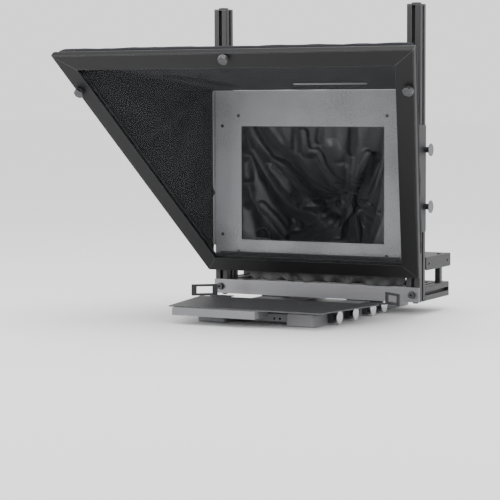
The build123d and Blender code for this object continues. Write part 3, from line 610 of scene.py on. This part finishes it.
def sheet_between(name, first, second, rows):
    """A sheet of cloth bridged from one line to the other, with its two sewn edges in a vertex group."""
    only(first)
    second.select_set(True)
    bpy.ops.object.join()
    cloth = bpy.context.object
    cloth.name = name
    held = cloth.vertex_groups.new(name="held")
    held.add([v.index for v in cloth.data.vertices], 1.0, "REPLACE")
    edit_all(cloth)
    bpy.ops.mesh.bridge_edge_loops(number_cuts=rows - 1, interpolation="LINEAR")
    bpy.ops.mesh.select_all(action="SELECT")
    bpy.ops.mesh.normals_make_consistent(inside=False)
    bpy.ops.object.mode_set(mode="OBJECT")
    return cloth


def ruffle(piece, offset, seed):
    """Move each vertex by a small random step, the same for the same seed."""
    edit_all(piece)
    bpy.ops.transform.vertex_random(offset=offset, seed=seed)
    bpy.ops.object.mode_set(mode="OBJECT")


def flat_area(piece):
    """The area of one side of a sheet, in square metres."""
    return sum(polygon.area for polygon in piece.data.polygons)


def unwrap(piece):
    """Lay the sheet flat on its UV map."""
    edit_all(piece)
    bpy.ops.uv.unwrap(method="ANGLE_BASED", margin=0.0)
    bpy.ops.object.mode_set(mode="OBJECT")


print("lines and sheets can be drawn")


# %% [markdown]
# A sewn sheet is never tight. The simulation holds its two sewn edges, lets the cut be a few percent larger
# than the gap, and drops it under its own weight, which is what makes the long soft folds.

# %% Drape by simulation
def drape(cloth, slack, frames, bending=0.4):
    """Hang a sheet by its held edges and apply the result."""
    stiffness, mass, air = 14.0, 0.28, 2.0
    only(cloth)
    modifier = cloth.modifiers.new("drape", "CLOTH")
    settings = modifier.settings
    settings.quality = 7
    settings.mass = mass
    settings.air_damping = air
    settings.tension_stiffness = stiffness
    settings.compression_stiffness = stiffness
    settings.shear_stiffness = stiffness * 0.4
    settings.bending_stiffness = bending
    settings.shrink_min = -slack
    settings.vertex_group_mass = "held"
    modifier.collision_settings.use_collision = False
    modifier.point_cache.frame_end = frames
    for number in range(1, frames + 1):
        bpy.context.scene.frame_set(number)
    bpy.ops.object.modifier_apply(modifier=modifier.name)
    bpy.context.scene.frame_set(1)


def fold(cloth, way, height, spread, points, reach=0.0045):
    """Move the cloth along a line of points, given in millimetres, and let the neighbours follow."""
    path = [Vector(point) / 1000 for point in points]
    steps = 8
    stations = [a.lerp(b, step / steps) for a, b in zip(path, path[1:]) for step in range(steps + 1)]
    picked = edit_where(cloth, lambda v: min((v.co - station).length for station in stations) < reach)
    if picked:
        bpy.ops.transform.translate(
            value=Vector(way) * height, use_proportional_edit=True, use_proportional_connected=True,
            proportional_size=spread, proportional_edit_falloff="SMOOTH",
        )
    bpy.ops.object.mode_set(mode="OBJECT")
    return picked


quick_frames, full_frames = 12, 60
sim_frames = full_frames
print("cloth runs for", sim_frames, "steps")

# %% [markdown]
# The hood closes the wedge between the upright panel and the tilted glass: two sides and a ceiling cut as
# one piece. Its back edge is held round the panel's flange, and its front edge behind the mirror frame.
# Both edges are drawn from the frame: the panel's box, the hinge line, and the slope of the frame's sides.

# %% Hood outline
panel_low, panel_high = corners("hood_panel")
hinge = sum(corners("hinge_pin"), Vector()) / 2
glass_slope = radians(50.0)
up_glass = Vector((0, -cos(glass_slope), sin(glass_slope)))
behind_glass = Vector((0, sin(glass_slope), cos(glass_slope)))
frame_overhang = 0.015
frame_low_half = panel_high.x + frame_overhang
frame_widening, frame_length = 0.145, 0.584
frame_flare = frame_widening / frame_length
slant_factor = 1.03
below_hinge = 0.024


def on_frame(side, up, inset, behind):
    """A point at a height up the glass, inset from the frame's outer edge, behind the hinge plane."""
    half = frame_low_half + (up + below_hinge) * frame_flare - inset * slant_factor
    return hinge + Vector((side * half, 0, 0)) + up_glass * up + behind_glass * behind


sewn_inset = 0.019
sewn_level = -0.0035
front_low_up, front_high_up = 0.006, 0.541
off_flange = 0.0010
flange_depth, back_low_up = 0.004, 0.002
flange_y = panel_low.y + flange_depth
back_low_z = panel_low.z + back_low_up
back_high_z = panel_high.z + off_flange
back_x = panel_high.x + off_flange
front_edge = [
    on_frame(side, up, sewn_inset, sewn_level)
    for side, up in ((-1, front_low_up), (-1, front_high_up), (1, front_high_up), (1, front_low_up))
]
back_edge = [
    Vector((-back_x, flange_y, back_low_z)), Vector((-back_x, flange_y, back_high_z)),
    Vector((back_x, flange_y, back_high_z)), Vector((back_x, flange_y, back_low_z)),
]
print("hood front width", round(front_edge[2].x - front_edge[1].x, 3), "back width", round(2 * back_x, 3))

# %% [markdown]
# The sheet is bridged, unwrapped while it is flat, ruffled a little with a fixed seed so that the folds
# don't come out mirrored, and draped. One subdivision then rounds the folds.

# %% Hood sheet
across_pieces, deep_rows = 26, 22
hood_slack = 0.010
hood = sheet_between("hood", line("front edge", front_edge, across_pieces),
                     line("back edge", back_edge, across_pieces), deep_rows)
hood_flat = flat_area(hood) * (1 + hood_slack) ** 2
unwrap(hood)
ruffle(hood, offset=0.0004, seed=7)
drape(hood, hood_slack, sim_frames)
apply_modifier(hood, "SUBSURF", levels=1, render_levels=1)
print("hood draped:", len(hood.data.polygons), "faces")

# %% [markdown]
# The hood is stored folded, so its walls keep shallow creases: a long lens-shaped one beside the panel and
# slanted ones farther out. The right wall gets the left wall's creases turned round, at other heights.

# %% Creases of the hood
wall_creases = [
    (0.0080, 0.018, [(-239, -68, 405), (-242, -76, 370), (-246, -86, 333), (-252, -100, 285)]),
    (-0.0080, 0.018, [(-247, -92, 413), (-250, -95, 365), (-256, -110, 307)]),
    (0.0060, 0.022, [(-344, -339, 474), (-308, -246, 442), (-279, -169, 418)]),
    (-0.0070, 0.022, [(-334, -311, 443), (-297, -218, 389), (-274, -157, 368)]),
    (0.0070, 0.020, [(-288, -194, 369), (-264, -132, 409), (-240, -69, 446)]),
    (-0.0060, 0.018, [(-298, -218, 336), (-277, -164, 368), (-257, -115, 401)]),
    (0.0060, 0.014, [(-254, -106, 223), (-242, -76, 233), (-231, -48, 244)]),
    (-0.0060, 0.012, [(-262, -126, 247), (-248, -91, 212), (-236, -58, 194)]),
]
ceiling_creases = [
    (0.0060, 0.022, [(-239, -194, 487), (-195, -148, 478), (-160, -92, 468)]),
    (-0.0050, 0.020, [(-160, -190, 486), (-120, -220, 491), (-80, -250, 496)]),
]
right_share, right_drop, crease_reach = 0.9, 14, 0.008
right_creases = [
    (height * right_share, spread, [(-x, y, z - right_drop) for x, y, z in points])
    for height, spread, points in wall_creases
]
picked = [fold(hood, (1, 0, 0), *crease, reach=crease_reach) for crease in wall_creases + right_creases]
picked += [fold(hood, (0, 0, 1), *crease, reach=crease_reach) for crease in ceiling_creases]
print("vertices on the creases:", picked)
print("hood cloth:", len(hood.data.polygons), "faces,", round(hood_flat, 3), "square metres cut")

# %% [markdown]
# When the mirror folds up against the panel the hood closes like a pram's. A point near the hinge turns as
# far as one far out, so the sheet is cut into gores by planes through the hinge line. Each gore's share of the
# mirror's turn is worked out from its angle; the ceiling is the farthest cloth, so the two gores at a cut get
# the same share at the ceiling's distance.

# %% Gores
gore_count = 12
gore_thickness = 0.0011
smooth_below = radians(60)
open_angle = radians(90) - glass_slope


def half_way(share):
    """The place on a smooth 0 to 1 step where it has risen to the share."""
    low, high = 0.0, 1.0
    for _ in range(40):
        place = (low + high) / 2
        if place * place * (3 - 2 * place) < share:
            low = place
        else:
            high = place
    return (low + high) / 2


def ceiling_radius(angle):
    """How far the ceiling is from the hinge line, in a plane that leans forward by an angle."""
    back, front = ((point - hinge).yz for point in (back_edge[1], front_edge[1]))
    run = front - back
    leaning = Vector((-sin(angle), cos(angle)))
    return back.cross(run) / leaning.cross(run)


def gore(index):
    """One slice of the hood between two planes through the hinge line."""
    first, last = index / gore_count, (index + 1) / gore_count
    piece = hood.copy()
    piece.data = hood.data.copy()
    piece.name = f"hood_gore_{index + 1}"
    bpy.context.scene.collection.objects.link(piece)
    for share, keep_far in ((first, True), (last, False)):
        if share in (0.0, 1.0):
            continue
        angle = share * open_angle
        towards_mirror = Vector((0, -cos(angle), -sin(angle)))
        edit_all(piece)
        bpy.ops.mesh.bisect(
            plane_co=hinge, plane_no=towards_mirror, clear_inner=keep_far, clear_outer=not keep_far
        )
        bpy.ops.object.mode_set(mode="OBJECT")
    angle = (first + last) / 2 * open_angle
    towards_mirror = Vector((0, -cos(angle), -sin(angle)))
    half_chord = sin(open_angle / gore_count / 2)
    near, far = (ceiling_radius(share * open_angle) * half_chord for share in (first, last))
    length = (near + far) / (half_way(last) - half_way(first))
    start = hinge - towards_mirror * (half_way(first) * length + near)
    apply_modifier(piece, "SOLIDIFY", thickness=gore_thickness, offset=0.0, use_even_offset=True)
    bpy.ops.object.shade_smooth_by_angle(angle=smooth_below)
    dress(piece, hood_cloth)
    start + towards_mirror * length
    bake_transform(piece)
    return piece


gores = [gore(index) for index in range(gore_count)]
gore_areas = [flat_area(piece) / 2 for piece in gores]
back_length, front_length = (
    sum((b - a).length for a, b in zip(edge, edge[1:])) for edge in (back_edge, front_edge)
)
for index, (piece, area) in enumerate(zip(gores, gore_areas)):
    width = back_length + (front_length - back_length) * (index + 0.5) / gore_count
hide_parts("hood_fabric")
bpy.data.objects.remove(hood)
print("gore areas:", [round(area, 3) for area in gore_areas])


# %% [markdown]
# The front edge of the hood is finished with a padded hem that wraps the rim and shows as a soft roll just
# outside the frame. A line along the rim is turned into a curve to give it a round section, made a mesh
# again, and puckered with a cloud texture.

# %% Front hem
def roll(name, points, radius, pucker, size, material):
    """A round puckered hem along a line."""
    piece = only(line(name, points, hem_pieces))
    bpy.ops.object.convert(target="CURVE")
    piece.data.bevel_depth = radius
    piece.data.bevel_resolution = 3
    piece.data.use_fill_caps = True
    bpy.ops.object.convert(target="MESH")
    clouds = bpy.data.textures.new(name + " puckers", "CLOUDS")
    clouds.noise_scale = size
    apply_modifier(piece, "SUBSURF", levels=1, render_levels=1)
    apply_modifier(piece, "DISPLACE", texture=clouds, strength=pucker, mid_level=0.5)
    edit_all(piece)
    bpy.ops.uv.smart_project()
    bpy.ops.object.mode_set(mode="OBJECT")
    bpy.ops.object.shade_smooth()
    dress(piece, material)
    return piece


hem_pieces = 24
hem_inset, hem_level, hem_radius = 0.0040, 0.0010, 0.0046
hem_low_up, hem_high_up = 0.030, 0.5555
hem_points = [
    on_frame(side, up, hem_inset, hem_level)
    for side, up in ((-1, hem_low_up), (-1, hem_high_up), (1, hem_high_up), (1, hem_low_up))
]
hem = roll("hood_front_hem", hem_points, hem_radius, pucker=0.0050, size=0.045, material=tape_cloth)
settle(hem)
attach(hem, "mirror")
print("hem:", len(hem.data.polygons), "faces")

# %% [markdown]
# At the back the hood is bound to the panel's flange with a flat tape, sewn outside the cloth.

# %% Back binding
tape_out, tape_width, tape_thickness, tape_pieces = 0.0012, 0.014, 0.0016, 16
tape_x, tape_z = back_x + tape_out, back_high_z + tape_out
tape_front_y = flange_y - 0.006
tape_low = panel_low.z + 0.045
tape_line = [
    Vector((-tape_x, tape_front_y, tape_low)), Vector((-tape_x, tape_front_y, tape_z)),
    Vector((tape_x, tape_front_y, tape_z)), Vector((tape_x, tape_front_y, tape_low)),
]
tape = line("hood_back_binding", tape_line, tape_pieces)
edit_all(tape)
bpy.ops.mesh.extrude_region_move(TRANSFORM_OT_translate={"value": (0, tape_width, 0)})
bpy.ops.object.mode_set(mode="OBJECT")
unwrap(tape)
apply_modifier(tape, "SOLIDIFY", thickness=tape_thickness, offset=0.0)
apply_modifier(tape, "BEVEL", width=0.0005, segments=2)
settle(tape)
bpy.ops.object.shade_smooth_by_angle(angle=radians(40))
dress(tape, tape_cloth)
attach(tape, "hood")

# %% [markdown]
# A thin bright stay is sewn under the ceiling of the hood. Its share of the mirror's fold is worked out from
# its angle about the hinge line.

# %% Ceiling stay
stay_length, stay_depth, stay_thick = 0.161, 0.0034, 0.0036
stay_place = Vector((0.0845, -0.120, 0.4688))
bpy.ops.object.select_all(action="DESELECT")
bpy.ops.mesh.primitive_cube_add(size=1, location=stay_place)
stay = bpy.context.object
stay.name = "hood_ceiling_stay"
bpy.ops.transform.resize(value=(stay_length, stay_depth, stay_thick))
bpy.ops.object.transform_apply(location=True, rotation=True, scale=True)
edit_all(stay)
bpy.ops.mesh.bevel(offset=0.0009, segments=3)
bpy.ops.object.mode_set(mode="OBJECT")
settle(stay)
bpy.ops.object.shade_smooth_by_angle(angle=radians(35))
dress(stay, brushed)
from_hinge = stay_place - hinge
stay_share = atan2(-from_hinge.y, from_hinge.z) / open_angle
stay_angle = stay_share * open_angle
stay_way = Vector((0, -cos(stay_angle), -sin(stay_angle)))
stay_run = 4.0
stay_start = hinge - stay_way * half_way(stay_share) * stay_run
stay_start + stay_way * stay_run
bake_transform(stay)
print("stay turns by", round(stay_share, 3), "of the mirror's fold")

# %% [markdown]
# Behind the window a black sleeve runs back to where the camera sits. Its mouth is clamped all round the
# window and its far end is drawn shut by elastic, as it is when no lens is pushed through. A rectangle of
# line is bridged to a circle, and the circle is stepped inwards until it closes.

# %% Shroud outline
ring_gap = 0.001
mouth_y, neck_y = corners("shroud_ring")[1].y + ring_gap, 0.150
mouth_half = 0.1755
mouth_low_z, mouth_high_z = 0.1435, 0.4085
neck_centre = Vector((0.0, neck_y, 0.222))
neck_radius = 0.058
side_pieces, sleeve_rows = 26, 18
mouth_corners = [
    Vector((-mouth_half, mouth_y, mouth_low_z)), Vector((-mouth_half, mouth_y, mouth_high_z)),
    Vector((mouth_half, mouth_y, mouth_high_z)), Vector((mouth_half, mouth_y, mouth_low_z)),
    Vector((-mouth_half, mouth_y, mouth_low_z)),
]
mouth = line("shroud mouth", mouth_corners, side_pieces)
edit_all(mouth)
bpy.ops.mesh.remove_doubles(threshold=1e-5)
bpy.ops.object.mode_set(mode="OBJECT")
bpy.ops.object.select_all(action="DESELECT")
bpy.ops.mesh.primitive_circle_add(vertices=4 * side_pieces, radius=neck_radius, location=neck_centre,
                                  rotation=(pi / 2, 0, 0))
neck = bpy.context.object
sleeve = sheet_between("camera_sleeve", mouth, neck, sleeve_rows)
print("sleeve:", len(sleeve.data.polygons), "faces")

# %% [markdown]
# The drawn end: the neck's edge is stepped in five times towards its centre and merged to a point. Only the
# mouth and the puckered centre stay held, so the rest can hang.

# %% Drawn end
steps_in = (0.72, 0.66, 0.58, 0.45, 0.35)
step_back, touching, centre_share = 0.0025, 1e-4, 0.35
edit_where(sleeve, lambda vertex: vertex.co.y > neck_y - touching)
for step in steps_in:
    bpy.ops.mesh.extrude_region_move(TRANSFORM_OT_translate={"value": (0, step_back, 0)})
    bpy.ops.transform.resize(value=(step, 1, step), center_override=neck_centre)
bpy.ops.mesh.merge(type="CENTER")
bpy.ops.mesh.select_all(action="SELECT")
bpy.ops.mesh.normals_make_consistent(inside=False)
bpy.ops.object.mode_set(mode="OBJECT")
held = sleeve.vertex_groups["held"]
loose = [
    v.index for v in sleeve.data.vertices
    if v.co.y > mouth_y + touching and (v.co - neck_centre).length > neck_radius * centre_share
]
held.remove(loose)
unwrap(sleeve)
ruffle(sleeve, offset=0.0008, seed=3)
sleeve_slack = 0.035
drape(sleeve, sleeve_slack, sim_frames, bending=0.25)
apply_modifier(sleeve, "SUBSURF", levels=2, render_levels=2)
print("sleeve draped:", len(sleeve.data.polygons), "faces")

# %% [markdown]
# Nobody smooths the sleeve before a shoot, so it keeps the heavy folds of its storage bag. Each fold is a
# line of points on the cloth: the vertices along it are moved in or out, and their neighbours follow less
# and less. Two long ridges run down from the upper corner, and a third drops from the right.

# %% Heavy folds
towards_reader = Vector((0.46, -0.88, 0.05))
folds = [
    (0.0200, 0.016, [(-152, -6, 376), (-137, 13, 340), (-122, 30, 310), (-97, 32, 300), (-78, 61, 272),
                      (-67, 91, 241), (-54, 122, 205), (-27, 131, 175)]),
    (0.0130, 0.013, [(-137, 13, 340), (-132, 32, 310), (-116, 51, 280), (-100, 72, 245)]),
    (-0.0160, 0.022, [(-127, -6, 368), (-105, 11, 332), (-78, 28, 311), (-58, 59, 272), (-51, 126, 223),
                      (-20, 143, 190)]),
    (-0.0150, 0.020, [(-165, -6, 353), (-162, -11, 290), (-155, -8, 227)]),
    (0.0140, 0.013, [(-30, -8, 371), (-34, 15, 329), (-7, 17, 327), (-6, 33, 301), (10, 62, 269),
                      (-4, 159, 233)]),
    (0.0090, 0.022, [(29, 9, 338), (38, 52, 287)]),
    (0.0200, 0.013, [(106, 18, 324), (86, 33, 302), (62, 61, 270), (10, 159, 226), (-1, 152, 196),
                      (-14, 140, 175), (-7, 115, 147)]),
    (-0.0220, 0.013, [(117, 24, 317), (95, 43, 288), (63, 83, 248), (19, 154, 212)]),
    (-0.0100, 0.009, [(-45, -10, 375), (-59, 13, 333)]),
    (-0.0100, 0.008, [(10, -9, 375), (3, 5, 352)]),
    (-0.0100, 0.009, [(85, -6, 375), (70, 19, 329)]),
    (0.0120, 0.008, [(70, 88, 221), (128, 29, 200)]),
    (-0.0120, 0.009, [(39, 137, 192), (69, 81, 143)]),
    (0.0120, 0.009, [(-139, 17, 215), (-116, 36, 183), (-101, 53, 153)]),
    (-0.0100, 0.008, [(-84, 88, 213), (-92, 60, 172)]),
    (0.0090, 0.009, [(-64, 105, 228), (-80, 78, 164)]),
    (-0.0100, 0.007, [(-24, 151, 211), (-12, 146, 186)]),
]

print("vertices on the folds:", [fold(sleeve, towards_reader, *one) for one in folds])

# %% [markdown]
# The sleeve's belly lies on the camera sled. What hangs below the head of the camera screw is selected and
# flattened to that height, so that the sled can slide underneath.

# %% Belly of the sleeve
belly_gap = 0.002
belly = corners("camera_screw")[1].z + belly_gap
lying = edit_where(sleeve, lambda vertex: vertex.co.z < belly)
if lying:
    bpy.ops.transform.resize(value=(1, 1, 0), center_override=(0, 0, belly))
bpy.ops.object.mode_set(mode="OBJECT")
print("vertices lying on the sled:", lying)

# %% [markdown]
# The folded sheet is thickened last, so that both of its faces follow every fold.

# %% Finished sleeve
sleeve_thickness = 0.0011
apply_modifier(sleeve, "SOLIDIFY", thickness=sleeve_thickness, offset=0.0)
bpy.ops.object.shade_smooth()
dress(sleeve, shroud_cloth)
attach(sleeve, "hood")
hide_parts("camera_shroud")

# %% [markdown]
# Low in the sleeve's left wall a rubber grommet lets a cable in. A short cylinder's front face is inset and
# pushed in, which leaves a rounded lip round a dark well.

# %% Cable grommet
grommet_place = Vector((-0.131, 0.004, 0.1535))
grommet_radius, grommet_depth = 0.0175, 0.016
lip_width, well_depth, lip_round = 0.0035, 0.012, 0.0012
bpy.ops.object.select_all(action="DESELECT")
bpy.ops.mesh.primitive_cylinder_add(
    vertices=64, radius=grommet_radius, depth=grommet_depth, location=(0, 0, 0)
)
grommet = bpy.context.object
grommet.name = "shroud_grommet"
bpy.ops.object.mode_set(mode="EDIT")
bpy.ops.mesh.select_all(action="DESELECT")
bpy.ops.object.mode_set(mode="OBJECT")
for polygon in grommet.data.polygons:
    polygon.select = polygon.normal.z > 0.99
bpy.ops.object.mode_set(mode="EDIT")
bpy.ops.mesh.select_mode(type="FACE")
bpy.ops.mesh.inset(thickness=lip_width)
bpy.ops.mesh.extrude_region_move(TRANSFORM_OT_translate={"value": (0, 0, -well_depth)})
bpy.ops.mesh.select_mode(type="VERT")
bpy.ops.object.mode_set(mode="OBJECT")
apply_modifier(
    grommet, "BEVEL", width=lip_round, segments=3, limit_method="ANGLE", angle_limit=radians(50)
)
facing = Vector((0.60, -0.80, 0.0))
grommet.rotation_euler = facing.to_track_quat("Z", "Y").to_euler()
grommet.location = grommet_place
settle(grommet)
bpy.ops.object.shade_smooth_by_angle(angle=radians(40))
dress(grommet, foam_rubber)
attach(grommet, "hood")
print("grommet at", tuple(round(v, 3) for v in grommet_place))

# %% [markdown]
# Below the panel a short skirt hangs to the crossbar and keeps daylight off the back of the glass. Its small
# crumples come from a random step at each vertex, puffed out front and back and rounded by subdivision.

# %% Skirt
skirt_y = -0.0127
skirt_top, skirt_hem = 0.146, 0.0605
skirt_top_ends, skirt_hem_ends = (-0.179, 0.199), (-0.150, 0.203)
skirt_width, skirt_thickness, skirt_puff = 0.36, 0.0010, 1.3
skirt_pieces, skirt_rows = 30, 8
upper, lower = (
    line(name, [Vector((x, skirt_y, z)) for x in ends], skirt_pieces)
    for name, ends, z in (("skirt top", skirt_top_ends, skirt_top), ("skirt hem", skirt_hem_ends, skirt_hem))
)
skirt = sheet_between("hood_skirt", upper, lower, skirt_rows)
unwrap(skirt)
ruffle(skirt, offset=0.0060, seed=11)
edit_all(skirt)
bpy.ops.transform.resize(value=(1, skirt_puff, 1), center_override=(0, skirt_y, 0))
bpy.ops.object.mode_set(mode="OBJECT")
apply_modifier(skirt, "SUBSURF", levels=3, render_levels=3)
apply_modifier(skirt, "SOLIDIFY", thickness=skirt_thickness, offset=0.0)
bpy.ops.object.shade_smooth()
dress(skirt, skirt_cloth)
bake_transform(skirt)

# %% [markdown]
# The last cell sets the scene back to its first frame.

# %% Finish
bpy.context.scene.frame_set(1)
